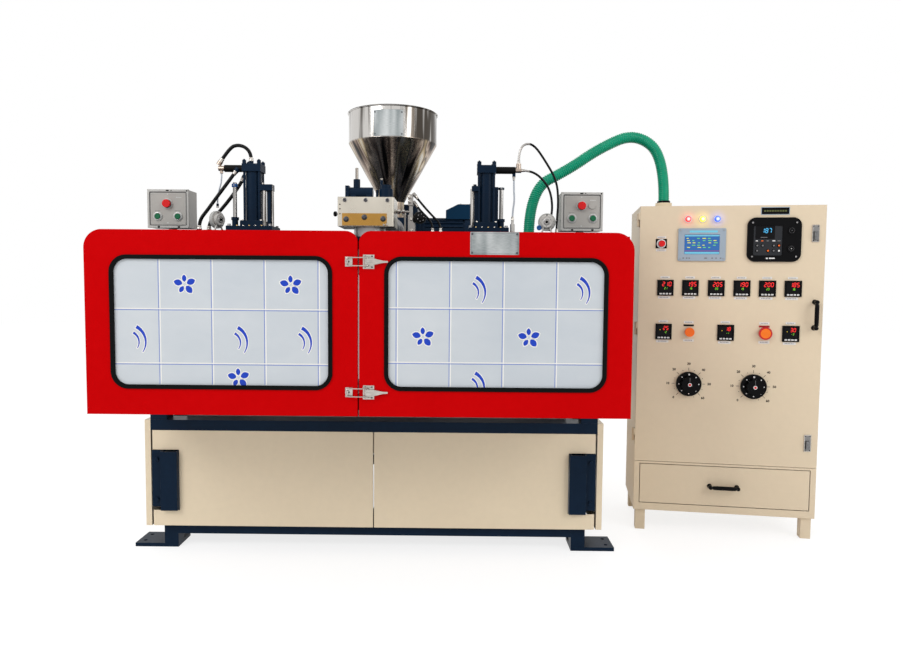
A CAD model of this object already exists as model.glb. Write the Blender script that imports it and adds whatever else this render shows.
# %% [markdown]
# # A blow moulding machine, dressed for a photograph
# The machine was drawn in a CAD program first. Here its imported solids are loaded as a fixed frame, and
# Blender adds what CAD can't show well: paint, polish, rubber, film, lit displays, ribbed hose and small
# hardware. Everything is in metres, in the machine's own frame: X to the right, Y to the rear, Z up.

# %% Load the frame
import math

import bmesh
import bpy
from mathutils import Matrix, Vector


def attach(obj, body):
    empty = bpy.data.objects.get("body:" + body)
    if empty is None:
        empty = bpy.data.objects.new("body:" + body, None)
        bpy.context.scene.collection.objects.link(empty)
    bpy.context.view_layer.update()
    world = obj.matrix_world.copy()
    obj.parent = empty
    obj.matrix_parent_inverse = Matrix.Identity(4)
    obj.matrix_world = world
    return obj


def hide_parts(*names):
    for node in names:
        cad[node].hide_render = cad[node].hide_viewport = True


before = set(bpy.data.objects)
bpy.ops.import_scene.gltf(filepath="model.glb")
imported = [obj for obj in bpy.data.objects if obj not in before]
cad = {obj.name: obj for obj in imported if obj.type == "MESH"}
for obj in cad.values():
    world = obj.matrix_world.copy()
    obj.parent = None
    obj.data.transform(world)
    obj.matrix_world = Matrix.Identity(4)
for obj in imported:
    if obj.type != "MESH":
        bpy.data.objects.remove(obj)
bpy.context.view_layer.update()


def add_object(name, data):
    made = bpy.data.objects.new(name, data)
    bpy.context.scene.collection.objects.link(made)
    return made


# %% [markdown]
# ## The camera
# A machine this wide is photographed from close by with a short lens. The lens length follows from how fast
# the parallel edges run together. The camera looks slightly down and is rolled by half a degree, as a
# hand-held one is. A rotation matrix built from three directions is easier to check than three angles.

# %% Camera
yaw, pitch, roll = -0.007, 0.062, 0.008
camera_place = (0.348, -3.587, 1.157)
focal_pixels, picture_pixels, sensor = 700, 903, 36
ahead = Vector((math.sin(yaw) * math.cos(pitch), math.cos(yaw) * math.cos(pitch), -math.sin(pitch)))
level = Vector((math.cos(yaw), -math.sin(yaw), 0))
upward = level.cross(ahead)
across = math.cos(roll) * level + math.sin(roll) * upward
top = math.cos(roll) * upward - math.sin(roll) * level

camera_data = bpy.data.cameras.new("camera")
camera_data.sensor_width = sensor
camera_data.lens = focal_pixels / picture_pixels * sensor
camera = add_object("camera", camera_data)
camera.matrix_world = Matrix.Translation(camera_place) @ Matrix((across, top, -ahead)).transposed().to_4x4()
bpy.context.scene.camera = camera
print("lens", round(camera_data.lens, 1), "mm")

# %% [markdown]
# ## Hose routes
# A hose is a smooth line. A NURBS spline of order 3 with a few control points gives the even bends that a
# stiff hose takes between two glands. The points are the same as in the CAD source. The order and the end
# setting are made after the points are added, because Blender limits them to the number of points. The hose's
# thickness is given to its points, because Blender also counts a point's radius in the object's box.


# %% A spline through hand-chosen points
def hose_line(name, route, thickness=0.0, steps=16):
    """A curve object that follows a route given in millimetres."""
    line = bpy.data.curves.new(name, "CURVE")
    line.dimensions = "3D"
    line.resolution_u = steps
    line.bevel_depth = 1.0 if thickness else 0.0
    line.bevel_resolution = 5
    spline = line.splines.new("NURBS")
    spline.points.add(len(route) - 1)
    for point, place in zip(spline.points, route):
        point.co = (place[0] / 1000, place[1] / 1000, place[2] / 1000, 1)
        point.radius = thickness
    spline.order_u = 3
    spline.use_endpoint_u = True
    spline.use_smooth = True
    return add_object(name, line)


def walk(route, steps=16):
    """The points along a route's line, read while it has no thickness, and its length in metres."""
    bare = hose_line("bare_line", route, steps=steps)
    bpy.context.view_layer.update()
    drawn = bpy.data.meshes.new_from_object(bare.evaluated_get(bpy.context.evaluated_depsgraph_get()))
    points = [v.co.copy() for v in drawn.vertices]
    bpy.data.meshes.remove(drawn)
    bpy.data.objects.remove(bare)
    return points, sum((b - a).length for a, b in zip(points, points[1:]))


def lay(hose, node, slot, points, length, diameter, **more):
    """Say which solid a hose stands for, what it rides on and how it lies."""
    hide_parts(node)
    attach(hose, "machine")
    print(hose.name, round(length, 3), "m")


# %% [markdown]
# The green hose carries the cables from the machine to the cabinet. Its wall is wound from a stiff spiral in
# a soft skin, so the ribs run round it as a screw thread. A plain bevelled curve can't have ribs, so the
# tube is built ring by ring along the spline, and each ring's radius rises and falls with the turn.

# %% Green hose
green_route = [
    (684, -280, 1375), (684, -280, 1592), (872, -262, 1690), (1010, -248, 1788),
    (1185, -226, 1868), (1335, -198, 1762), (1335, -198, 1541),
]
green_radius, green_diameter = 0.0236, 0.052
rib_height, rib_pitch = 0.0026, 0.0095
ring_sides = 28


def skin(shape, rings):
    """The faces that join each ring of vertices to the next one."""
    faces = []
    for low, high in zip(rings, rings[1:]):
        for step in range(len(low)):
            after = (step + 1) % len(low)
            faces.append(shape.faces.new((low[step], low[after], high[after], high[step])))
    return faces


def ribbed_tube(name, points):
    """A tube round a line of points whose radius follows a screw thread."""
    mesh, shape = bpy.data.meshes.new(name), bmesh.new()
    run, rings = 0.0, []
    side = (points[1] - points[0]).cross(Vector((0, 1, 0))).normalized()
    for index, point in enumerate(points):
        before, after = points[max(index - 1, 0)], points[min(index + 1, len(points) - 1)]
        run += (point - before).length
        direction = (after - before).normalized()
        side = (side - direction * side.dot(direction)).normalized()
        other = direction.cross(side)
        ring = []
        for step in range(ring_sides):
            turn = 2 * math.pi * step / ring_sides
            wave = 0.5 + 0.5 * math.cos(2 * math.pi * run / rib_pitch - turn)
            reach = green_radius + rib_height * wave**2
            ring.append(shape.verts.new(point + reach * (math.cos(turn) * side + math.sin(turn) * other)))
        rings.append(ring)
    for face in skin(shape, rings):
        face.smooth = True
    shape.to_mesh(mesh)
    shape.free()
    return add_object(name, mesh)


green_points, green_length = walk(green_route, steps=110)
green_hose = ribbed_tube("ribbed_green_hose", green_points)
lay(green_hose, "green_hose", "hose_green", green_points, green_length, green_diameter, path=green_points)

# %% [markdown]
# The air hoses of the two blow stations are smooth rubber, so a round bevel on the spline is all they need.
# Each one leaves a fitting in its own direction and enters a gland or a gauge. The first number is its radius.

# %% Air hoses
air_routes = {
    "left_arc_hose": (7, [
        (-593, -780, 1627), (-556, -780, 1682), (-524, -781, 1693), (-491, -782, 1683), (-471, -782, 1656),
        (-471, -782, 1629)]),
    "left_long_hose": (7, [
        (-530, -792, 1586), (-552, -800, 1552), (-600, -806, 1486), (-640, -806, 1432), (-674, -802, 1392),
        (-674, -802, 1359)]),
    "left_short_hose": (7, [
        (-512, -750, 1566), (-532, -750, 1532), (-574, -752, 1474), (-616, -756, 1424), (-649, -762, 1390),
        (-649, -762, 1359)]),
    "left_gauge_tube": (3, [
        (-590, -780, 1580), (-590, -780, 1550), (-600, -786, 1512), (-604, -790, 1486), (-604, -790, 1460)]),
    "right_upper_hose": (4.5, [
        (589, -780, 1626), (589, -780, 1666), (606, -780, 1704), (648, -779, 1704), (700, -774, 1632),
        (744, -766, 1560), (752, -758, 1475), (747, -754, 1405), (747, -754, 1359)]),
    "right_lower_hose": (4.5, [
        (599, -780, 1600), (634, -779, 1600), (676, -774, 1578), (716, -766, 1530), (729, -760, 1462),
        (722, -758, 1410), (722, -758, 1380)]),
    "right_straight_tube": (3.5, [
        (571, -780, 1575), (571, -780, 1530), (575, -777, 1480), (568, -774, 1440), (568, -774, 1405)]),
    "head_upper_cable": (4.5, [
        (180, -744, 1500), (210, -746, 1463), (246, -748, 1424), (281, -750, 1390), (281, -750, 1359)]),
    "head_lower_cable": (4.5, [
        (180, -734, 1468), (202, -736, 1440), (228, -738, 1416), (248, -738, 1390), (248, -738, 1359)]),
}
air_hoses = {}
for name, (radius, route) in air_routes.items():
    air_hoses[name] = hose_line(name, route, thickness=radius / 1000)
    lay(air_hoses[name], "air_hoses", "hose_black", *walk(route), 2 * radius / 1000)

# %% [markdown]
# ## A small language for finishes
# A finish is a node tree. Written as plain node calls it is long and hard to read, so one class wraps an
# output socket and turns + - * and powers into Math nodes. `1 - mask` works too. The tree itself has one
# method that adds any other node, with its settings first and its inputs after.


# %% Sockets that can be added and multiplied
def maths_with(operation):
    """A method that feeds a wire and another value to a Math node."""
    return lambda wire, other: wire.maths(operation, wire, other)


class Wire:
    """An output socket that Python arithmetic can be used on."""

    def __init__(self, graph, socket):
        self.graph, self.socket = graph, socket

    def maths(self, operation, *inputs):
        return self.graph.node("Math", {"operation": operation}, *inputs)

    def __rsub__(self, other):
        return self.maths("SUBTRACT", other, self)

    __add__ = __radd__ = maths_with("ADD")
    __sub__ = maths_with("SUBTRACT")
    __mul__ = __rmul__ = maths_with("MULTIPLY")
    __pow__ = maths_with("POWER")
    __gt__ = maths_with("GREATER_THAN")
    __lt__ = maths_with("LESS_THAN")


class Graph:
    """A node tree, of a material or of the world."""

    def __init__(self, tree):
        self.tree = tree

    def node(self, kind, settings=None, *inputs, output=0, **named):
        """Add a node, set it up, feed its inputs, and give back one of its outputs."""
        made = self.tree.nodes.new("ShaderNode" + kind)
        for setting, value in (settings or {}).items():
            if setting == "stops":
                while len(made.color_ramp.elements) < len(value):
                    made.color_ramp.elements.new(0.5)
                for element, (place, colour) in zip(made.color_ramp.elements, value):
                    element.position, element.color = place, (*colour, 1)
            else:
                setattr(made, setting, value)
        for index, value in [*enumerate(inputs), *named.items()]:
            socket = made.inputs[index.replace("_", " ") if isinstance(index, str) else index]
            if isinstance(value, Wire):
                self.tree.links.new(value.socket, socket)
            elif isinstance(value, tuple) and len(value) == 3 and socket.type == "RGBA":
                socket.default_value = (*value, 1)
            elif value is not None:
                socket.default_value = value
        return Wire(self, made.outputs[output])

    def seen(self):
        """1 for a ray from the camera, also after a mirror or clear glass."""
        straight = self.node("LightPath", output="Is Camera Ray")
        for ray in ("Is Glossy Ray", "Is Transmission Ray"):
            straight = straight.maths("MAXIMUM", straight, self.node("LightPath", output=ray))
        return straight


class Finish(Graph):
    """A material with a Principled surface, built by its methods."""

    def __init__(self, name, colour, roughness=0.5, metallic=0.0, **fixed):
        self.material = bpy.data.materials.new(name)
        self.material.use_nodes = True
        super().__init__(self.material.node_tree)
        self.surface = self.tree.nodes["Principled BSDF"]
        fixed.update(Base_Color=(*colour, 1), Roughness=roughness, Metallic=metallic)
        for socket, value in fixed.items():
            self.surface.inputs[socket.replace("_", " ")].default_value = value

    def place(self):
        """The point on the part, in metres, in the machine's frame."""
        return self.node("TexCoord", output="Object")

    def axes(self):
        split = self.node("SeparateXYZ", None, self.place()).socket.node
        return [Wire(self, socket) for socket in split.outputs]

    def speckle(self, scale, detail=3.0, stretch=None, **more):
        """Noise from 0 to 1 at a scale given as spots a metre, stretched if asked."""
        at = self.place()
        if stretch:
            at = self.node("Mapping", None, at, Scale=stretch)
        return self.node("TexNoise", None, Vector=at, Scale=scale, Detail=detail, **more)

    def between(self, value, low, high):
        """0 below low, 1 above high, even in between."""
        return self.node("MapRange", None, value, low, high, 0.0, 1.0)

    def mix(self, mask, first, second):
        """One colour where the mask is 0, the other where it is 1."""
        other_kinds = [None] * 5
        return self.node("Mix", {"data_type": "RGBA"}, mask, *other_kinds, first, second, output=2)

    def vector(self, operation, *inputs, **more):
        return self.node("VectorMath", {"operation": operation}, *inputs, **more)

    def measured(self, origin, direction):
        """How far the point lies from an origin along a direction, in metres."""
        offset = self.vector("SUBTRACT", self.place(), tuple(origin))
        return self.vector("DOT_PRODUCT", offset, tuple(direction), output="Value")

    def off_axis(self, origin, direction):
        """How far the point lies from a line through an origin, in metres."""
        offset = self.vector("SUBTRACT", self.place(), tuple(origin))
        return self.vector("LENGTH", self.vector("CROSS_PRODUCT", offset, tuple(direction)), output="Value")

    def paint(self, socket, value):
        self.tree.links.new(value.socket, self.surface.inputs[socket])

    def overlay(self, mask, colour, roughness, metallic):
        """Lay another finish over this one where the mask is 1."""
        for socket, value in (("Base Color", colour), ("Roughness", roughness), ("Metallic", metallic)):
            plug = self.surface.inputs[socket]
            under = Wire(self, plug.links[0].from_socket) if plug.is_linked else plug.default_value
            mixed = self.mix(mask, under, value) if socket == "Base Color" else under + mask * (value - under)
            self.paint(socket, mixed)

    def relief(self, height, depth, strength, edge=None):
        """Bump from a height from 0 to 1, its real depth, and the radius that edges seem to have."""
        rounded_normal = self.node("Bevel", {"samples": 4}, Radius=edge) if edge else None
        self.paint("Normal", self.node("Bump", None, Strength=strength, Distance=depth, Height=height,
                                       Normal=rounded_normal))
        return rounded_normal

    def glow(self, colour, strength):
        """Give off light in a colour or in a socket's colours."""
        self.paint("Emission Color", colour)
        self.surface.inputs["Emission Strength"].default_value = strength


print("finish language ready")

# %% [markdown]
# ## Paint
# Factory paint is never one flat colour. It is sprayed, so light skims over a fine orange-peel skin. Dust
# lies on what faces up, hands and cloths dull it in patches, and the film wears thin along edges. The
# Bevel node rounds the normals along an edge, and where the rounded and the true normal part, there is an
# edge: that gives both the soft highlight and the place for wear.


# %% A recipe for enamel
def dimmed(colour, share):
    return tuple(c * share for c in colour)


def clouded(colour, cloud):
    """A darker and a lighter tone of one colour."""
    return dimmed(colour, 1 - cloud), tuple(min(c * (1 + cloud) + 0.0006, 1) for c in colour)


def enamel(name, colour, worn, roughness, dust, cloud, peel=0.5, shine=0.3):
    """Sprayed enamel of one colour, lighter where worn, with dust and orange peel."""
    finish = Finish(name, colour, roughness, Specular_IOR_Level=shine)
    patches, fine = finish.speckle(2.3, 4.0), finish.speckle(38.0, 5.0)
    shade = finish.between(patches * 0.65 + fine * 0.35, 0.3, 0.7)
    rounded_normal = finish.relief(finish.speckle(420.0, 1.0), 0.0006, 0.12 * peel, edge=0.0016)
    true_normal = finish.node("NewGeometry", output="True Normal")
    flat = finish.vector("DOT_PRODUCT", rounded_normal, true_normal, output="Value")
    rim = finish.between(1 - flat, 0.02, 0.16) * finish.between(fine, 0.48, 0.62)
    tone = finish.mix(rim * 0.7, finish.mix(shade, *clouded(colour, cloud)), worn)
    up = finish.node("SeparateXYZ", None, finish.node("NewGeometry", output="Normal"), output="Z")
    lying = finish.between(up, 0.6, 1.0) * finish.between(fine + patches, 0.75, 1.25) * dust
    finish.paint("Base Color", finish.mix(lying, tone, (0.42, 0.40, 0.37)))
    finish.paint("Roughness", roughness + 0.1 * (shade - 0.5) + 0.35 * lying)
    return finish


def navy_enamel(name, roughness=0.34, dust=0.05):
    return enamel(name, (0.0030, 0.0130, 0.032), (0.09, 0.11, 0.14), roughness, dust, 0.2, shine=0.08)


def cabinet_enamel(name):
    return enamel(name, (0.715, 0.595, 0.430), (0.80, 0.73, 0.61), 0.48, 0.12, 0.03, peel=2.2, shine=0.35)


navy = navy_enamel("navy_enamel", dust=0.06)
red = enamel("red_enamel", (0.53, 0.0002, 0.0012), (0.56, 0.012, 0.01), 0.36, 0.03, 0.05, shine=0.02)
cream = enamel("cream_enamel", (0.80, 0.675, 0.490), (0.86, 0.79, 0.66), 0.4, 0.10, 0.035)
cabinet_paint = cabinet_enamel("cabinet_texture_paint")
print("paints", navy.material.name, red.material.name, cream.material.name, cabinet_paint.material.name)

# %% [markdown]
# ## Bare metals
# Ground steel shows fine scratches along its length. Turned bars show rings. The hopper is spun and polished,
# so it mirrors the room in long upright bands. A plain studio has nothing to mirror, so the bands of
# brighter and darker polish are given by the angle round the hopper, which stays put from every side.


# %% Metals
def ground_metal(name, colour, roughness=0.3, grain=(1.0, 1.0, 40.0), streak=0.12):
    """Metal with fine scratches along the axis whose grain is smallest."""
    finish = Finish(name, colour, roughness, 1.0)
    lines, cloud = finish.speckle(30.0, 4.0, stretch=grain), finish.speckle(9.0, 3.0)
    shade = finish.between(lines * 0.6 + cloud * 0.4, 0.3, 0.7)
    finish.paint("Base Color", finish.mix(shade, dimmed(colour, 1 - 2.2 * streak), colour))
    finish.paint("Roughness", roughness + streak * (lines - 0.5) + 0.1 * (cloud - 0.5))
    finish.relief(lines, 0.0004, 0.15, edge=0.0012)
    return finish


steel = ground_metal("ground_steel", (0.44, 0.43, 0.43), 0.32)
milled = ground_metal("milled_aluminium", (0.52, 0.52, 0.53), 0.36, grain=(40.0, 1.0, 1.0))
nickel = ground_metal("bright_nickel", (0.66, 0.62, 0.57), 0.22, grain=(1.0, 6.0, 6.0), streak=0.2)
latch_steel = ground_metal("dull_latch_steel", (0.26, 0.26, 0.26), 0.34, grain=(4.0, 4.0, 4.0), streak=0.25)
bronze = ground_metal("dark_bolts", (0.10, 0.10, 0.11), 0.42, streak=0.1)
chrome_rod = ground_metal("chrome_rod", (0.56, 0.54, 0.52), 0.14, grain=(7.0, 7.0, 0.3), streak=0.3)
brass_fitting = ground_metal("brass_fitting", (0.62, 0.44, 0.20), 0.3)

hopper_y, hopper_rim_low = 0.21, 2.0405
stainless = Finish("polished_stainless", (0.72, 0.71, 0.69), 0.13, 1.0)
x, y, z = stainless.axes()
angle = stainless.node("Math", {"operation": "ARCTAN2"}, y - hopper_y, x)
around = stainless.node("CombineXYZ", None, angle, 0.0, z * 0.25)
bands = stainless.node("TexNoise", None, Vector=around, Scale=7.0, Detail=2.0, Roughness=0.5)
lean = stainless.node("CombineXYZ", None, angle, 0.3, z * 1.1)
slanted = stainless.node("TexNoise", None, Vector=lean, Scale=3.4, Detail=1.0, Distortion=0.5)
cone = stainless.between(z, 1.89, 1.88)
shaded = stainless.between(x, 0.055, 0.075)
mirrored = stainless.between(bands + 0.10 - 0.20 * shaded, 0.40, 0.56)
band_tone = stainless.mix(mirrored, (0.07, 0.06, 0.05), (0.60, 0.58, 0.555))
cone_stripes = [
    (0.34, (0.02, 0.018, 0.017)), (0.41, (0.24, 0.18, 0.145)), (0.48, (0.50, 0.41, 0.33)),
    (0.54, (0.12, 0.10, 0.085)), (0.60, (0.46, 0.36, 0.22)), (0.66, (0.66, 0.62, 0.55)),
]
cone_tone = stainless.node("ValToRGB", {"stops": cone_stripes}, slanted)
middle_line = stainless.between((angle + math.pi / 2) ** 2, 0.0025, 0.0)
cone_tone = stainless.mix(middle_line * 0.85, cone_tone, (0.01, 0.008, 0.008))
stainless.paint("Base Color", stainless.mix(cone, band_tone, cone_tone))
stainless.overlay(z > hopper_rim_low, (0.10, 0.09, 0.08), 0.2, 1.0)
stainless.paint("Roughness", 0.09 + 0.14 * stainless.speckle(60.0, 2.0) + 0.12 * cone)
print("metals ready")

# %% [markdown]
# ## Plastics, rubber, ink and light
# Moulded plastic has a fine spark-eroded grain. Rubber is matt and picks up grey dust in its corners. Printed
# labels, lit digits and lamp lenses are small, but the eye goes to them first. A glowing finish gives its own
# light at a plain strength, so that it reads as lit without washing out.


# %% Plastics
def moulded(name, colour, roughness=0.4, grain=900.0, depth=0.00008, cloud=0.1, shine=0.3):
    """Injection-moulded plastic with a fine grain."""
    finish = Finish(name, colour, roughness, Specular_IOR_Level=shine)
    texture, cloudy = finish.speckle(grain, 2.0), finish.speckle(14.0, 3.0)
    finish.paint("Base Color", finish.mix(cloudy, *clouded(colour, cloud)))
    finish.paint("Roughness", roughness + 0.15 * (texture - 0.5) + 0.08 * (cloudy - 0.5))
    finish.relief(texture, depth, 0.5, edge=0.0008)
    return finish


def black_hose(name):
    return moulded(name, (0.0035, 0.004, 0.0045), 0.34, grain=260.0, shine=0.14)


black = moulded("black_plastic", (0.0028, 0.0028, 0.0034), 0.34, shine=0.07)
rubber = moulded("black_rubber", (0.003, 0.0036, 0.0036), 0.6, grain=300.0, depth=0.0002, shine=0.06)
pale = moulded("pale_grey_plastic", (0.46, 0.46, 0.44), 0.42)
red_cap = moulded("red_button", (0.70, 0.003, 0.004), 0.26)
green_cap = moulded("green_button", (0.001, 0.13, 0.05), 0.28)
orange_cap = moulded("orange_button", (0.92, 0.15, 0.008), 0.28)
hose_green = moulded("green_hose_wall", (0.0, 0.285, 0.155), 0.24, grain=220.0, cloud=0.3, shine=0.22)
hose_black = black_hose("black_hose_wall")
hose_clear = moulded("clear_tube_wall", (0.50, 0.54, 0.60), 0.3, grain=260.0)
label = moulded("pale_label", (0.72, 0.70, 0.67), 0.5, cloud=0.04)
ink_black = moulded("black_ink", (0.003, 0.003, 0.0035), 0.5, cloud=0.2, shine=0.06)
ink_white = moulded("white_ink", (0.80, 0.80, 0.79), 0.45, cloud=0.04)
ink_red = moulded("red_ink", (0.34, 0.006, 0.008), 0.45)
ink_grey = moulded("grey_ink", (0.16, 0.16, 0.165), 0.5, cloud=0.15)
ink_blue = moulded("blue_film_ink", (0.004, 0.045, 0.46), 0.32, cloud=0.12)
line_blue = moulded("blue_film_line", (0.17, 0.24, 0.56), 0.32, cloud=0.08)
line_pale = moulded("pale_film_line", (0.80, 0.79, 0.75), 0.3, cloud=0.03)
dark_glass = moulded("dark_display_glass", (0.0022, 0.0022, 0.003), 0.12, grain=120.0, shine=0.12)
field_grey = moulded("keypad_field", (0.022, 0.024, 0.028), 0.42, shine=0.15)
silver = moulded("screen_bezel_silver", (0.33, 0.40, 0.47), 0.34, cloud=0.08)
olive = moulded("olive_inlay", (0.10, 0.11, 0.03), 0.5, cloud=0.3)
yellow_cap = moulded("yellow_mark", (0.75, 0.55, 0.03))
navy_plain = moulded("navy_fitting", (0.008, 0.020, 0.040), 0.36, cloud=0.25)
clamp_blue = moulded("blue_hose_clamp", (0.010, 0.10, 0.34), 0.36, cloud=0.15)
rim_grey = moulded("box_rim_grey", (0.50, 0.49, 0.465), 0.38, cloud=0.06)
groove = moulded("box_groove", (0.10, 0.10, 0.10), 0.55)
teal_rim = moulded("stop_collar_teal", (0.012, 0.055, 0.058), 0.3)
ring_pale = moulded("button_ring", (0.62, 0.64, 0.62), 0.3)

braid_end = 0.632
braided = black_hose("braided_hose_wall")
braided.overlay(braided.axes()[0] < braid_end, (0.40, 0.38, 0.36), 0.3, 0.9)


def glowing(name, colour, strength):
    """A lit colour that varies a little, as light behind a sheet does."""
    finish = Finish(name, dimmed(colour, 0.5), 0.35)
    finish.glow(finish.mix(finish.speckle(180.0, 2.0), dimmed(colour, 0.75), colour), strength)
    return finish


led_red = glowing("led_red", (0.95, 0.012, 0.012), 1.0)
led_green = glowing("led_green", (0.20, 0.62, 0.02), 0.9)
led_cyan = glowing("led_cyan", (0.06, 0.42, 0.75), 0.9)
screen_blue = glowing("screen_blue", (0.012, 0.11, 0.36), 0.75)
screen_light = glowing("screen_light_blue", (0.14, 0.48, 0.62), 0.8)
screen_green = glowing("screen_green", (0.16, 0.60, 0.10), 0.8)
screen_yellow = glowing("screen_yellow", (0.75, 0.72, 0.05), 0.8)
screen_red = glowing("screen_red", (0.40, 0.02, 0.06), 0.7)
print("plastics, inks and lights ready")

# %% [markdown]
# ## A way to build small hardware
# Bolts, labels, bezels and printed figures are many small forms. Each one as an object of its own would make
# a long list, so a Piece gathers the forms that belong together in one mesh and rides on one body. A form is
# given in millimetres on a face: x to the right, y up the face, z out of it. Every form is a skin over rows
# of points, so a chamfer is only one more row.


# %% Faces and outlines
def facing(origin, right, out):
    """A frame in millimetres on a face, from a point on it, its right and its outward direction."""
    right, out = Vector(right).normalized(), Vector(out).normalized()
    turn = Matrix((right, out.cross(right), out)).transposed().to_4x4()
    return Matrix.Translation(Vector(origin) / 1000) @ turn @ Matrix.Scale(0.001, 4)


def front_at(x, y, z=0):
    """A face that looks straight ahead, towards -Y."""
    return facing((x, y, z), (1, 0, 0), (0, -1, 0))


def top_at(x, y, z):
    """A face that looks up."""
    return facing((x, y, z), (1, 0, 0), (0, 0, 1))


def grid(xs, ys):
    return [(x, y) for x in xs for y in ys]


def circle(radius, count, centre=(0, 0), start=0.0):
    """Places spread evenly round a circle."""
    turns = [start + 2 * math.pi * step / count for step in range(count)]
    return [(centre[0] + radius * math.cos(turn), centre[1] + radius * math.sin(turn)) for turn in turns]


def heading(turn):
    """The direction at an angle, and the one to its left."""
    return Vector((math.cos(turn), math.sin(turn))), Vector((-math.sin(turn), math.cos(turn)))


def rounded(width, height, radius, centre=(0, 0)):
    """The outline of a rectangle with round corners."""
    points, steps = [], 5
    for corner, (sx, sy) in enumerate(((1, 1), (-1, 1), (-1, -1), (1, -1))):
        for step in range(steps + 1):
            turn = math.pi / 2 * (corner + step / steps)
            points.append((centre[0] + sx * (width / 2 - radius) + radius * math.cos(turn),
                           centre[1] + sy * (height / 2 - radius) + radius * math.sin(turn)))
    return points


def inset(outline, distance):
    """The same outline with every side moved inward."""
    moved = []
    for index, point in enumerate(outline):
        here, before, after = (Vector(p) for p in (point, outline[index - 1], outline[(index + 1) % len(outline)]))
        first = (here - before).orthogonal().normalized()
        across = (first + (after - here).orthogonal().normalized()).normalized()
        moved.append(tuple(here + across * distance / max(across.dot(first), 0.3)))
    return moved


cabinet_turn = 0.148
along = Vector((math.cos(cabinet_turn), -math.sin(cabinet_turn), 0))
inward = Vector((math.sin(cabinet_turn), math.cos(cabinet_turn), 0))
cabinet_corner, cabinet_width = Vector((1189, -340, 0)), 800
cabinet_front = facing(cabinet_corner, along, -inward)
cabinet_side = facing(cabinet_corner + along * cabinet_width, inward, along)
door_front = front_at(0, -1113)
deck = top_at(0, 0, 1345)
print("cabinet front looks along", tuple(round(v, 3) for v in -inward))

# %% [markdown]
# The class holds the face it works on, so a form is one short line. Lit digits are drawn from seven bars, whose
# letters and end points stand in two small tables.

# %% A piece made of many forms
BARS = {"0": "abcdef", "1": "bc", "2": "abdeg", "3": "abcdg", "4": "bcfg", "5": "acdfg", "6": "acdefg", "7": "abc",
        "8": "abcdefg", "9": "abcdfg", "-": "g"}
BAR_ENDS = {"a": (0, 2, 1, 2), "b": (1, 2, 1, 1), "c": (1, 1, 1, 0), "d": (0, 0, 1, 0), "e": (0, 1, 0, 0),
            "f": (0, 2, 0, 1), "g": (0, 1, 1, 1)}


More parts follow.
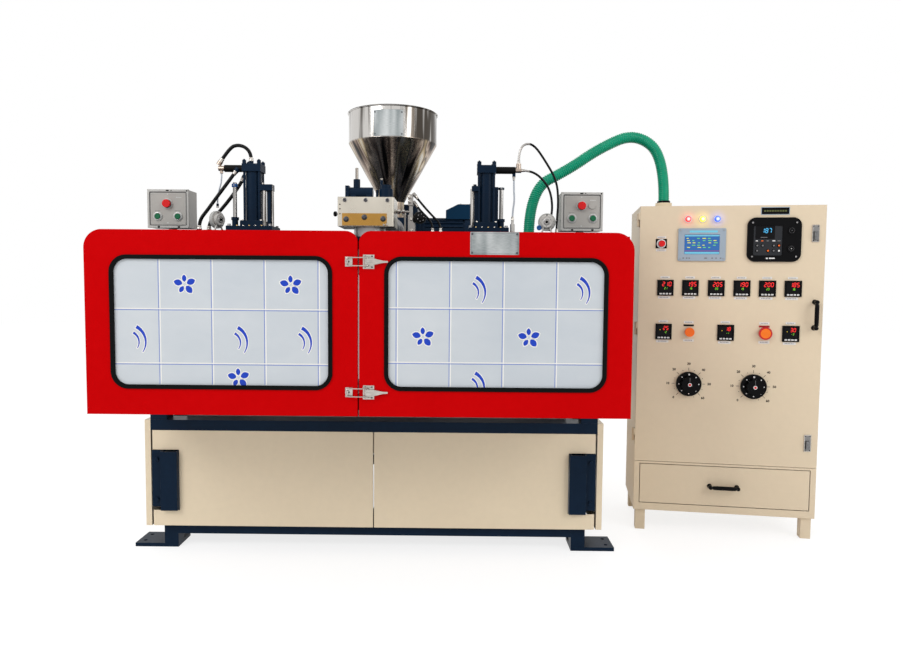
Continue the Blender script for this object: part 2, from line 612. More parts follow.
class Piece:
    """A mesh of several small forms, each with its own finish, that rides on one body."""

    def __init__(self, name, body, slot, face=None):
        self.name, self.body, self.slot, self.face = name, body, slot, face
        self.shape = bmesh.new()
        self.finishes = []
        self.forms = 0

    def on(self, face):
        """Put the next forms on another face."""
        self.face = face
        return self

    def cover(self, faces, finish):
        """Count the faces as one form, and give them their finish."""
        if finish not in self.finishes:
            self.finishes.append(finish)
        for face in faces:
            face.material_index = self.finishes.index(finish)
        self.forms += 1

    def rows(self, rows, finish, lids=(True, True)):
        """A skin over rows of points that run anticlockwise, from the lowest row to the highest."""
        made = [[self.shape.verts.new(self.face @ Vector(point)) for point in row] for row in rows]
        faces = skin(self.shape, made)
        if lids[0]:
            faces.append(self.shape.faces.new(made[0][::-1]))
        if lids[1]:
            faces.append(self.shape.faces.new(made[-1]))
        self.cover(faces, finish)

    def print_on(self, outline, lift, finish):
        """A printed outline, as thin as ink."""
        self.rows([[(x, y, lift) for x, y in outline]], finish, (False, True))

    def patch(self, left, right, low, high, lift, finish):
        """A printed rectangle."""
        self.print_on([(left, low), (right, low), (right, high), (left, high)], lift, finish)

    def dashes(self, count, left, step, wide, low, high, lift, finish):
        """A row of short dashes, in place of print."""
        for dash in range(count):
            self.patch(left + dash * step, left + dash * step + wide, low, high, lift, finish)

    def plate(self, size, centre, low, high, finish, edge=0.4):
        """A flat part with round corners and a small chamfer round its outer face."""
        outline = rounded(*size, centre)
        levels = ((outline, low), (outline, high - edge), (inset(outline, edge), high))
        self.rows([[(x, y, z) for x, y in line] for line, z in levels], finish)

    def rim(self, outer_size, inner_size, centre, low, high, finish, edge):
        """A flat ring between two round-cornered outlines."""
        outer, inner = rounded(*outer_size, centre), rounded(*inner_size, centre)
        levels = ((outer, low), (outer, high - edge), (inset(outer, edge), high), (inset(inner, -edge), high),
                  (inner, high - edge), (inner, low))
        self.rows([[(x, y, z) for x, y in line] for line, z in levels], finish, (False, False))

    def turned(self, profile, finish, sides, *places, lids=(True, True)):
        """A form turned round the face's z axis, from pairs of radius and height, at each place."""
        for place in places or [(0, 0)]:
            self.rows([[(x, y, h) for x, y in circle(r, sides, place)] for r, h in profile], finish, lids)

    def ring(self, profile, finish, sides, *places):
        self.turned(profile, finish, sides, *places, lids=(False, False))

    def bar(self, start, length, radius, finish, sides):
        """A bar along X with chamfered ends, to the left where its length is negative."""
        way, tall, cut = Vector((length, 0, 0)), abs(length), radius * 0.2
        self.on(facing(start, way.orthogonal(), way))
        self.turned([(radius - cut, 0), (radius, cut), (radius, tall - cut), (radius - cut, tall)], finish, sides)

    def bolts(self, size, finish, low, *places):
        """Washers with six-sided heads, size across the corners."""
        washer, head = ((0.66, 0), (0.66, 0.1), (0.6, 0.14)), ((0.5, 0.14), (0.5, 0.56), (0.42, 0.64))
        for place in places:
            for sides, profile in ((20, washer), (6, head)):
                self.turned([(size * r, low + size * h) for r, h in profile], finish, sides, place)

    def cap_screws(self, radius, finish, low, *places):
        """Round heads with a hollow in them."""
        profile = ((1, 0), (1, 0.8), (0.88, 1), (0.5, 1), (0.45, 0.5), (0.05, 0.45))
        self.turned([(radius * r, low + radius * h) for r, h in profile], finish, 16, *places)

    def digits(self, text, left, low, height, lift, finish):
        """Seven-bar numbers that lean a little, as on a controller."""
        unit, thick, lean, pitch = height / 2, height * 0.085, 0.1, height * 0.8
        for place, sign in enumerate(text):
            for bar in BARS[sign]:
                x0, y0, x1, y1 = BAR_ENDS[bar]
                start, end = Vector((x0, y0)) * unit, Vector((x1, y1)) * unit
                way = (end - start).normalized()
                side, gap = way.orthogonal() * thick, way * thick * 0.35
                corners = (start + gap, start + gap * 3 + side, end - gap * 3 + side, end - gap,
                           end - gap * 3 - side, start + gap * 3 - side)
                self.rows([[(left + place * pitch + at.x + lean * at.y, low + at.y, lift) for at in corners]],
                          finish, (True, False))

    def figures(self, text, x, y, size, lift, finish):
        """Plain printed figures, centred on a point."""
        written = bpy.data.curves.new("figures", "FONT")
        written.body, written.size = text, size
        written.align_x, written.align_y = "CENTER", "CENTER"
        written.resolution_u, written.offset = 2, size * 0.04
        carrier = bpy.data.objects.new("figures", written)
        drawn = bpy.data.meshes.new_from_object(carrier)
        corners = [self.shape.verts.new(self.face @ Vector((v.co.x + x, v.co.y + y, lift))) for v in drawn.vertices]
        self.cover([self.shape.faces.new([corners[index] for index in polygon.vertices])
                    for polygon in drawn.polygons], finish)
        bpy.data.objects.remove(carrier)
        bpy.data.meshes.remove(drawn)

    def close(self):
        """Turn the forms into one object that rides on its body."""
        mesh = bpy.data.meshes.new(self.name)
        self.shape.to_mesh(mesh)
        self.shape.free()
        for finish in self.finishes:
            mesh.materials.append(finish.material)
        mesh.shade_smooth()
        mesh.set_sharp_from_angle(angle=0.6)
        made = add_object(self.name, mesh)
        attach(made, self.body)
        print(self.name, "on", self.body, self.forms, "forms,", len(mesh.polygons), "faces")


# %% [markdown]
# ## Finishes on the solids
# Most solids take one finish. Where one solid has two, such as the painted station with its chrome posts, a
# mask from the point's place picks the second one. A post is everything near its axis, and a fitting on the
# cabinet is everything in front of the door's face, so no second mesh is needed.


# %% Finishes with a second material in one place
def two_tone(name, first, second, low, high):
    """Two surfaces, each a colour, a roughness and a metallic: the second shows inside a box."""
    made = Finish(name, *first)
    mask = 1.0
    for axis, a, b in zip(made.axes(), low, high):
        mask = mask * ((axis > a) * (axis < b))
    lines = made.speckle(9.0, 3.0)
    shade = made.between(lines, 0.3, 0.7)
    tones = [made.mix(shade, dimmed(colour, share), colour) for colour, share in ((first[0], 0.86), (second[0], 0.82))]
    rough, metal = (first[index] + mask * (second[index] - first[index]) for index in (1, 2))
    made.paint("Base Color", made.mix(mask, *tones))
    made.paint("Roughness", rough + 0.1 * (shade - 0.5))
    made.paint("Metallic", metal)
    made.relief(lines, 0.0003, 0.2, edge=0.0015)
    return made


satin, brass = ((0.67, 0.62, 0.53), 0.3, 0.8), ((0.50, 0.27, 0.065), 0.3, 1.0)
head_metal = two_tone("satin_and_brass", satin, brass, (-0.098, -0.8805, 1.368), (0.080, -0.8753, 1.4185))
grey, chrome = ((0.43, 0.41, 0.38), 0.42, 0.0), ((0.55, 0.54, 0.53), 0.1, 1.0)
box_finish = two_tone("operator_box_paint", grey, chrome, (-1.2, -0.7, 1.2), (-0.9575, -0.4, 1.5))
matt_black = (0.004, 0.004, 0.004)

station_paint = navy_enamel("station_navy")
x, y, z = station_paint.axes()
streaks = station_paint.between(station_paint.speckle(1.0, 2.0, stretch=(210.0, 210.0, 4.0)), 0.42, 0.56)
mirror = station_paint.mix(streaks, (0.10, 0.09, 0.08), (0.60, 0.57, 0.54))
deck_plate_top, black_pipe_x, elbow_x, elbow_low, gauge_x, gauge_high = 1.3705, 0.4985, 0.5775, 1.57, 0.562, 1.45
for px, py, radius in ((-416, -798, 8.6), (-383, -796, 5.1), (-504, -744, 7.6), (406, -798, 7.6)):
    post = station_paint.off_axis((px / 1000, py / 1000, 0), (0, 0, 1)) < radius / 1000
    station_paint.overlay(post * (z > deck_plate_top), mirror, 0.16, 1.0)
sideways = x.maths("ABSOLUTE", x)
pipe = station_paint.off_axis((0, -0.780, 1.600), (1, 0, 0)) < 0.0148
station_paint.overlay(pipe * (sideways > black_pipe_x), matt_black, 0.5, 0.0)
station_paint.overlay((sideways > elbow_x) * (z > elbow_low), (0.44, 0.36, 0.30), 0.24, 1.0)
station_paint.overlay((sideways > gauge_x) * (z < gauge_high), (0.58, 0.56, 0.53), 0.4, 0.2)

manifold_x, valve_x, valve_radius, collar_low = 0.12, 0.17, 0.0246, 1.5515
head_paint = navy_enamel("head_navy")
x, y, z = head_paint.axes()
head_paint.overlay(x > manifold_x, (0.34, 0.32, 0.30), 0.34, 0.95)
valve = head_paint.off_axis((0.194, -0.763, 1.412), (0.5, -0.866, 0)) < valve_radius
head_paint.overlay(valve * (x > valve_x), matt_black, 0.4, 0.0)
head_paint.overlay(z > collar_low, (0.30, 0.27, 0.24), 0.26, 1.0)

terminal_box_x, terminal_box_low = 0.28, 1.507
motor_paint = navy_enamel("motor_navy", roughness=0.36)
x, y, z = motor_paint.axes()
motor_paint.overlay((x > terminal_box_x) * (z > terminal_box_low), (0.0025, 0.033, 0.080), 0.34, 0.0)

button_x, button_z, button_radius = 557, 937, 0.0215
ring_orange = moulded("ringed_orange_button", (0.93, 0.19, 0.008), 0.28)
button_middle = (cabinet_corner + along * button_x + Vector((0, 0, button_z))) / 1000
ring_orange.overlay(ring_orange.off_axis(button_middle, inward) > button_radius, (0.55, 0.010, 0.012), 0.28, 0.0)
print("finishes with masks ready")

# %% [markdown]
# The cabinet's door carries steel collars, latch plates and a black handle in the same solid. Its lamps throw
# a little of their colour on the paint round them, which fades with the square of the distance.

# %% Cabinet paint and lamps
corner = cabinet_corner / 1000
lamp_z, lamp_half_pitch = 1.451, 0.0315
lamp_places = ((0.211, (0.90, 0.02, 0.02)), (0.274, (0.95, 0.66, 0.03)), (0.338, (0.03, 0.10, 0.95)))
handle_black = (0.005, 0.005, 0.006)
paint_depth, handle_x, handle_low, handle_high = 0.0006, 0.74, 0.95, 1.10
halo_inner, halo_outer, lens_depth = 0.014, 0.055, 0.0061

door_paint = cabinet_enamel("cabinet_door_paint")
z = door_paint.axes()[2]
proud = door_paint.measured(corner, -inward) > paint_depth
door_paint.overlay(proud, (0.24, 0.235, 0.23), 0.34, 0.9)
handle = proud * (door_paint.measured(corner, along) > handle_x) * (z > handle_low) * (z < handle_high)
door_paint.overlay(handle, handle_black, 0.34, 0.0)
front_face = door_paint.measured(corner, -inward) > -paint_depth
halo = (0.0, 0.0, 0.0)
for at, tint in lamp_places:
    far = door_paint.off_axis(corner + along * at + Vector((0, 0, lamp_z)), inward)
    halo = door_paint.mix(front_face * (1 - door_paint.between(far, halo_inner, halo_outer)) ** 2, halo, tint)
door_paint.glow(halo, 0.4)

drawer_paint = cabinet_enamel("drawer_paint")
drawer_paint.overlay(drawer_paint.measured(corner, -inward) > paint_depth, handle_black, 0.34, 0.0)

lenses = Finish("signal_lamp_lenses", (0.7, 0.7, 0.7), 0.18)
reach, depth, z = lenses.measured(corner, along), lenses.measured(corner, -inward), lenses.axes()[2]
middle, tint = lamp_places[0]
for (at, colour), step in zip(lamp_places[1:], (0.063, 0.064)):
    past = reach > at - lamp_half_pitch
    tint = lenses.mix(past, tint, colour)
    middle = past * step + middle
off_middle = ((reach - middle) ** 2 + (z - lamp_z) ** 2) ** 0.5
hot = 1 - lenses.between(off_middle, 0.003, 0.0100)
lens = depth > lens_depth
lenses.paint("Base Color", lenses.mix(lens, (0.62, 0.62, 0.63), tint))
lenses.paint("Metallic", 1 - lens)
lenses.glow(lenses.mix(lens, (0.0, 0.0, 0.0), lenses.mix(hot, tint, (1.0, 1.0, 1.0))), 1.1)
print("cabinet finishes ready")

# %% [markdown]
# The panes are clear sheet under a milky blue-grey film. Seen from in front the film hides the works almost
# wholly, so its alpha is high, and it lies in faint waves that catch the light.

# %% Pane film
pane = Finish("protective_film", (0.60, 0.645, 0.685), 0.34, Alpha=0.96, Specular_IOR_Level=0.4)
waves, haze = pane.speckle(5.0, 3.0, stretch=(1.0, 1.0, 2.2), Distortion=0.6), pane.speckle(1.6, 3.0)
milky = pane.between(waves * 0.4 + haze * 0.6, 0.32, 0.68)
pane.paint("Base Color", pane.mix(milky, (0.52, 0.565, 0.61), (0.60, 0.635, 0.665)))
pane.paint("Roughness", 0.3 + 0.16 * waves)
pane.relief(waves, 0.0012, 0.25)
print("film ready")

# %% [markdown]
# Now every solid gets its finish. The meshes stay as they came, only their material slots are filled.

# %% Give every solid its finish
solids_by_finish = (
    (navy, "base_frame upper_frame top_plate gearbox"), (motor_paint, "motor"), (head_paint, "head_cylinders"),
    (station_paint, "blow_cylinders"), (cream, "covers"), (red, "side_guards left_door right_door"),
    (steel, "carriage_rails barrel heater_bands die_head extruder_screw left_carriage right_carriage"),
    (chrome_rod, "left_blow_pin right_blow_pin"), (stainless, "hopper"), (head_metal, "head_cover"),
    (milled, "left_front_mould left_rear_mould right_front_mould right_rear_mould"),
    (pane, "left_window right_window"), (rubber, "left_window_seal right_window_seal"),
    (nickel, "latch_keepers latch_bases upper_latch_lever lower_latch_lever upper_latch_bail lower_latch_bail"),
    (cabinet_paint, "cabinet_body"), (door_paint, "cabinet_door"), (drawer_paint, "drawer"), (lenses, "signal_lamps"),
    (pale, "mounting_plate"), (silver, "operator_screen"), (latch_steel, "upper_swing_latch lower_swing_latch"),
    (black, "drive_keypad temperature_controllers left_dial right_dial"), (box_finish, "operator_boxes"),
    (red_cap, "emergency_stop left_stop_button right_stop_button"), (orange_cap, "left_orange_button"),
    (green_cap, "left_start_button left_jog_button right_start_button right_jog_button"),
    (ring_orange, "right_orange_button"),
)
dressed = 0
for finish, names in solids_by_finish:
    for name in names.split():
        cad[name].data.materials.clear()
        cad[name].data.materials.append(finish.material)
        dressed += 1
green_hose.data.materials.append(hose_green.material)
for name, hose in air_hoses.items():
    finish = hose_clear if name.endswith("tube") else braided if name.startswith("right") else hose_black
    hose.data.materials.append(finish.material)
print(dressed, "solids dressed")

# %% [markdown]
# ## The cabinet's operator screen
# A silver bezel with a screw in each corner holds a lit picture. The picture shows rows of values in yellow
# and green on blue, with a red line and a bright strip at the bottom. They are plain blocks in no particular
# order, because what the real one says isn't ours to copy.

# %% Screen picture
screen = Piece("screen_picture", "cabinet_door_leaf", "dark_plastic", cabinet_front)
mid_x, mid_z = 273.5, 1336.5
screen_left, screen_right, print_lift = 199, 349, 6.75
screen.plate((152, 88, 1), (mid_x, mid_z), 6.0, 6.7, screen_blue)
screen.patch(screen_left, screen_right, 1373, 1379, print_lift, screen_light)
for row, height in enumerate((1362, 1352, 1342, 1331, 1321)):
    for column in range(6):
        if (row * 5 + column * 3) % 4 != 3:
            left = 206 + column * 23 + (row * 7) % 5
            wide = 9 + (row * 3 + column * 5) % 8
            tint = screen_yellow if (row + column) % 3 == 0 or column == 0 else screen_green
            screen.patch(left, left + wide, height, height + 3.4, print_lift, tint)
screen.patch(screen_left, screen_right, 1306, 1308, print_lift, screen_red)
screen.patch(screen_left, screen_right, 1294, 1302, print_lift, screen_light)
screen.plate((122, 9, 2), (mid_x + 6, 1394.5), 7.8, 8.5, screen_light)
for index, left in enumerate((190, 205, 216, 285, 316, 333, 352)):
    screen.patch(left, left + (7 if index != 3 else 12), 1272, 1277, 8.08, ink_grey)
screen.cap_screws(3.2, steel, 7.6, *grid((179, 368), (1271, 1400)))
screen.close()

# %% [markdown]
# ## The drive keypad
# The keypad is a black moulding with a recessed field: a display window, rows of small keys, and two round
# keys with dotted rims beside it. Its small lamps and keys are tiny chamfered plates with ink on them.

# %% Keypad face
keypad = Piece("keypad_face", "cabinet_door_leaf", "dark_plastic", cabinet_front)
keypad.plate((121, 131, 5), (555, 1352.5), 8.0, 8.5, field_grey)
keypad.plate((82, 58, 2), (543, 1389), 8.5, 9.1, dark_glass)
keypad.digits("187", 528, 1388, 19, 9.15, led_cyan)
keypad.patch(524, 552, 1366, 1369, 9.15, ink_grey)
for row, height in enumerate((1352, 1331, 1308)):
    for column, x in enumerate((510, 533, 556, 580, 602)):
        key_ink = ink_white if (row + column) % 3 == 0 else orange_cap if (row * 2 + column) % 5 == 1 else ink_grey
        if row == 0:
            keypad.patch(x - 6, x + (7 if column > 2 else 3), height - 2, height + 2, 8.55, key_ink)
        elif (row + column) % 4 != 3:
            keypad.turned([(7.5, 8.5), (7.5, 9.2), (6.6, 9.6)], black, 20, (x, height))
            keypad.turned([(4.2, 9.55), (4.0, 9.75)], key_ink, 16, (x + 1, height))
keypad.patch(549, 557, 1271, 1277, 10.1, ink_white)
keypad.patch(562, 586, 1272, 1277, 10.1, ink_white)
for z, centre_ink in ((1317.5, ink_white), (1397.5, ink_grey)):
    keypad.turned([(1.3, 13.9), (1.0, 14.3)], ink_grey, 8, *circle(11, 12, (654, z)))
    keypad.turned([(2.2, 13.9), (1.8, 14.4)], centre_ink, 12, (654, z))
keypad.cap_screws(4.0, steel, 9.6, (489, 1282), (675, 1282), (489, 1433), (675, 1433))
keypad.close()

# %% [markdown]
# ## Temperature controllers
# Nine controllers regulate the heating zones. Each has a dark window with a large red actual value, a small
# green set value and a row of pale keys. The numbers are plain round temperatures.

# %% Controller displays
upper_z, lower_z = 1139, 937
controllers = [
    (119, upper_z, "210"), (229, upper_z, "195"), (342, upper_z, "205"), (453, upper_z, "190"),
    (562, upper_z, "200"), (671, upper_z, "185"), (116, lower_z, "25"), (389, lower_z, "18"), (668, lower_z, "30"),
]
displays = Piece("controller_displays", "cabinet_door_leaf", "dark_plastic", cabinet_front)
for x, z, value in controllers:
    displays.plate((56, 48, 2), (x, z + 4), 4.5, 5.0, dark_glass)
    if z == upper_z:
        displays.digits(value, x - 14, z + 8, 18, 5.05, led_red)
        displays.digits(value[:2], x - 5, z - 7, 9, 5.05, led_green)
    else:
        displays.digits(value, x - 2, z + 9, 16, 5.05, led_red)
        displays.digits("-" + value[:1], x + 2, z - 6, 8, 5.05, led_green)
        displays.turned([(2.2, 5.0), (1.9, 5.4)], yellow_cap, 10, (x - 16, z + 9))
for centre, z, _ in controllers:
    for x in range(centre - 21, centre + 22, 14):
        displays.plate((10, 6.5, 1.2), (x, z - 27.5), 5.8, 6.8, ink_white)
        displays.patch(x - 2, x + 2, z - 28.3, z - 26.7, 6.85, ink_grey)
displays.close()

# %% [markdown]
# ## Labels and legend plates
# Under and over every instrument sits an engraved strip. Its words are left off, and a row of short dashes
# keeps the look of small print. The emergency stop has a black and white legend plate behind it.

# %% Label strips
labels = Piece("cabinet_labels", "cabinet_door_leaf", "grey_plastic", cabinet_front)


def label_strip(x, z, width, height, finish=label, dashes=5):
    labels.plate((width, height, 1.5), (x, z), 0, 0.8, finish, 0.25)
    if dashes:
        labels.dashes(dashes, x - width * 0.36, width * 0.72 / dashes, width * 0.5 / dashes,
                      z - height * 0.13, z + height * 0.13, 0.85, ink_grey)


for centre, z, _ in controllers:
    label_strip(centre - 2, z + 47.5, 42, 10.5)
    label_strip(centre - 4, z - 44.5, 55, 12, dashes=6)
for x, strip_finish, low_z in ((229, ink_black, 899), (557, ink_red, 896)):
    label_strip(x - 2, 982, 43, 11)
    label_strip(x - 2, 967.5, 46, 8.5, strip_finish, 0)
    label_strip(x - 1, low_z, 47, 12)
label_strip(97, 1369, 40, 9)
label_strip(96, 1311, 46, 12)
labels.plate((50, 43, 1.5), (96, 1340.5), 0, 1.0, ink_black, 0.25)
labels.turned([(20.5, 0.9), (20.5, 1.3), (20.1, 1.5)], ink_white, 32, (96, 1340))
labels.plate((122, 35, 2), (585, 1485.5), 0, 1.4, silver)
labels.plate((116, 29, 1), (585, 1485.5), 1.3, 1.9, ink_black, 0.3)
labels.dashes(9, 537, 11, 8, 1482, 1489, 1.95, olive)
labels.close()

# %% [markdown]
# ## Dials
# Two speed dials turn through a scale printed on the door. The long marks stand every forty-five degrees with
# round numbers outside them. The knob's skirt has its own white dots, and its cap has a red centre.

# %% Dial scales and knob marks
scales = Piece("dial_scales", "cabinet_door_leaf", "dark_plastic", cabinet_front)
for name, x, z in (("left", 233, 698), ("right", 516, 694)):
    for step in range(7):
        turn = math.radians(225 - 45 * step)
        way, side = heading(turn)
        corners = [way * reach + side * half for reach, half in ((74, -0.9), (74, 0.9), (61, 0.9), (61, -0.9))]
        scales.print_on([(x + c.x, z + c.y) for c in corners], 0.15, ink_black)
        scales.figures(str(10 * step), x + way.x * 92, z + way.y * 92, 15, 0.15, ink_black)
        scales.turned([(1.6, 0), (1.5, 0.15)], ink_black, 10, *circle(66, 1, (x, z), turn - 0.39))
    marks = Piece(name + "_dial_marks", name + "_dial_knob", "dark_plastic", cabinet_front)
    zero_dot, *dots = circle(44, 8, (x, z), math.pi / 2)
    marks.turned([(4.2, 13.9), (4.0, 14.3)], ink_white, 14, zero_dot)
    marks.turned([(2.9, 13.9), (2.7, 14.3)], ink_white, 14, *dots)
    marks.plate((2, 19, 0.8), (x, z + 23), 39.6, 40.7, ink_grey, 0.2)
    marks.turned([(8.5, 39.8), (8.5, 40.9), (7.9, 41.4), (5.6, 41.4), (5.4, 40.9)], ink_white, 24, (x, z))
    marks.turned([(5.3, 40.8), (5.3, 41.6), (4.6, 42.1)], red_cap, 20, (x, z))
    marks.close()
scales.close()

# %% [markdown]
# ## Handles, latch plates and the side lock
# The bow handles are black castings that swell where they are screwed on. The CAD bars have plain posts, so a
# turned foot goes over each one, and a fuller grip over each bar. The latch plates have dark holes at the
# corners.

# %% Handle feet and latch plates
foot_profile = [(11, 0), (11, 2.5), (8.6, 6), (7.8, 14), (8.4, 24), (9.4, 33), (8.2, 39), (4.5, 41.5)]
grip_profile, grip_length = [(6.3, 0), (8.6, 6), (9.3, 20), (9.3, 82), (8.6, 96), (6.3, 102)], 102
handles = Piece("cabinet_handle_feet", "cabinet_door_leaf", "dark_plastic", cabinet_front)
handles.turned(foot_profile, black, 24, (764, 965), (764, 1081))
handles.on(facing(cabinet_front @ Vector((764, 972, 34)) * 1000, along, (0, 0, 1))).turned(grip_profile, black, 24)
handles.on(cabinet_front)
for z in (1385, 443):
    handles.turned([(2.6, 2.9), (2.4, 3.3)], ink_black, 12, *grid((747, 767), (z - 32, z + 32)))
    handles.rim((30, 76, 3), (24, 70, 2), (757, z), 2.9, 3.8, nickel, 0.3)
handles.close()

drawer_feet = Piece("drawer_handle_feet", "drawer_box", "dark_plastic", cabinet_front)
drawer_feet.turned([(r, h * 0.88) for r, h in foot_profile], black, 24, (340, 224), (460, 224))
drawer_feet.on(facing(cabinet_front @ Vector((347, 224, 30)) * 1000, (0, 0, 1), along))
drawer_feet.turned([(r, h * 106 / grip_length) for r, h in grip_profile], black, 24)
drawer_feet.close()

side_lock = Piece("cabinet_side_lock", "machine", "nickel", cabinet_side)
side_lock.turned([(11, 0), (11, 2), (9.5, 3.2), (9.5, 9), (8.6, 10), (5, 10), (4.6, 8.5)], nickel, 28, (40, 1476))
side_lock.turned([(10, 0), (10, 7), (9, 9), (4, 9.5)], black, 24, (40, 1446))
side_lock.close()

# %% [markdown]
# ## Operator boxes
# Each box is a grey moulding: a pale rim, a dark groove where the lid meets the base, and a raised line inside
# it. Rings stand round the buttons, and small dark slots in the rim hide the lid's screws.

# %% Box fronts
fronts = Piece("operator_box_fronts", "machine", "grey_plastic")
for centre, stop, greens in ((-871, (-3, 100), [(-44, 47), (41, 47)]), (871, (-2, 103), [(-42, 51), (46, 51)])):
    fronts.on(front_at(centre, -620, 1377))
    fronts.rim((175, 161, 8), (158, 142, 6), (0, 79), 0, 2.2, rim_grey, 0.7)
    fronts.rim((158, 142, 6), (150, 134, 5), (0, 79), 0, 0.5, groove, 0.1)
    fronts.rim((143, 127, 4), (139, 123, 3), (0, 79), 0, 0.7, rim_grey, 0.3)
    for x, y, width, height in ((-40, 3, 10, 7), (45, 3, 10, 7), (-2, 155, 13, 5), (14, 155, 6, 3), (80, 154, 6, 6)):
        fronts.plate((width, height, 1.5), (x, y), 2.1, 2.4, ink_black, 0.1)
    fronts.turned([(2.6, 0), (2.6, 1.0), (1.8, 1.4)], ring_pale, 14, (-2, 139), (-2, 19))
    fronts.dashes(4, 34, 6, 4, 125, 128, 0.12, ring_pale)
    fronts.ring([(20.8, 0), (20.8, 2.8), (20, 3.6), (18.3, 3.6), (18.2, 0)], ring_pale, 36, stop)
    fronts.ring([(18.4, 3.4), (18.4, 4.6), (17.4, 4.9), (17.2, 4.1)], teal_rim, 36, stop)
    for x, y in greens:
        fronts.ring([(18.6, 0), (18.6, 3.8), (17.6, 4.8), (16.3, 4.8), (16.1, 0)], ring_pale, 32, (x, y))
        fronts.ring([(16.2, 4.6), (16.2, 5.4), (15.4, 5.7), (13.2, 5.7), (13.1, 4.9)], steel, 32, (x, y))
        fronts.dashes(4, x - 12, 6, 4, y + 22, y + 24.5, 0.12, ink_grey)
fronts.close()

# %% [markdown]
# ## The window film
# Both panes still wear the protective film they were delivered with. It is printed with thin blue lines and
# blue marks. The marks here are plain leaves and arcs in a layout of their own. Each one has a pale edge, as
# on the real film, made by drawing the same outline once more, grown by a few millimetres.


# %% Film print
def leaf(x, z, reach, half, turn):
    """A pointed leaf that starts at a point and reaches out in one direction."""
    (way, side), hub, fullness = heading(turn), 8, 0.7
    widths = [(index / 8, half * math.sin(math.pi * index / 8) ** fullness) for index in range(9)]
    right = [way * (hub + reach * t) - side * wide for t, wide in widths]
    left = [way * (hub + reach * t) + side * wide for t, wide in widths[-2:0:-1]]
    return [(x + p.x, z + p.y) for p in right + left]


def arc(x, z, radius, thick):
    """A bow that grows from thin to thick."""
    start, end, thin = math.radians(-35), math.radians(62), 2.5
    widths = [(start + (end - start) * index / 16, thin + (thick - thin) * index / 16) for index in range(17)]
    outer = [(radius + wide / 2, turn) for turn, wide in widths]
    inner = [(radius - wide / 2, turn) for turn, wide in reversed(widths)]
    return [(x + r * math.cos(turn), z + r * math.sin(turn)) for r, turn in outer + inner]


def edged_mark(film, outline, growth):
    film.print_on(inset(outline, -growth), -3.30, line_pale)
    film.print_on(outline, -3.26, ink_blue)


film_sides = {
    "left": (-869, -106, (-710, -522, -334, -143), (1050, 856), ((-616, 1142), (-239, 1142), (-428, 810)),
             ((-428, 955), (-790, 955), (-200, 955))),
    "right": (106, 869, (134, 323, 511, 700), (1060, 866), ((230, 962), (606, 962)),
              ((417, 1140), (785, 1140), (417, 800))),
}
film_low, film_high = 784, 1229
for name, (film_left, film_right, uprights, levels, leaves, arcs) in film_sides.items():
    film = Piece(name + "_film_print", name + "_door_leaf", "window_pane", door_front)
    for x in uprights:
        film.patch(x + 3, x + 7, film_low, film_high, -3.40, line_pale)
        film.patch(x - 1.3, x + 1.4, film_low, film_high, -3.38, line_blue)
    for z in levels:
        film.patch(film_left, film_right, z + 3, z + 6.5, -3.36, line_pale)
        film.patch(film_left, film_right, z - 1.3, z + 1.4, -3.34, line_blue)
    for x, z in leaves:
        for step in range(5):
            short = step % 2
            edged_mark(film, leaf(x, z, 32 - 6 * short, 11 - 3 * short, math.radians(22 + 72 * step)), 3.2)
    for x, z in arcs:
        for radius, thick in ((62, 13), (38, 9)):
            edged_mark(film, arc(x - 30, z - 20, radius, thick), 2.8)
    film.close()

# %% [markdown]
# ## The rating plate
# A brushed plate with four rivets is fixed to the right leaf. Its words are left off. The sheen of brushed
# steel runs across the grain, so bands of brighter and darker tone follow the plate's height and width.

# %% Rating plate
plate_metal = Finish("brushed_plate", (0.62, 0.63, 0.64), 0.32, 1.0)
grain = plate_metal.speckle(1.0, 4.0, stretch=(60.0, 1.0, 900.0))
sheen = plate_metal.speckle(1.0, 2.0, stretch=(13.0, 1.0, 2.0))
brushed = plate_metal.between(sheen * 0.75 + grain * 0.25, 0.36, 0.62)
plate_metal.paint("Base Color", plate_metal.mix(brushed, (0.17, 0.20, 0.205), (0.66, 0.68, 0.68)))
plate_metal.paint("Roughness", 0.24 + 0.2 * grain)
plate_metal.relief(grain, 0.0002, 0.3)
rating = Piece("rating_plate", "right_door_leaf", "bright_steel", door_front)
rating.plate((172, 80, 3), (480, 1293.5), 0, 1.3, plate_metal)
rating.rim((164, 72, 2), (162, 70, 2), (480, 1293.5), 1.25, 1.45, ink_grey, 0.05)
rating.turned([(4.2, 1.2), (4.0, 2.4), (2.8, 3.4), (0.8, 3.8)], bronze, 14, *grid((401, 559), (1260.5, 1326.5)))
rating.close()

# %% [markdown]
# ## Blow station fittings
# The cylinders, posts and pipes are CAD solids. What makes them look real are the bright bolts on their base
# plates, the crimped sleeves where a hose meets its fitting, and the round gauges with their stepped hubs.

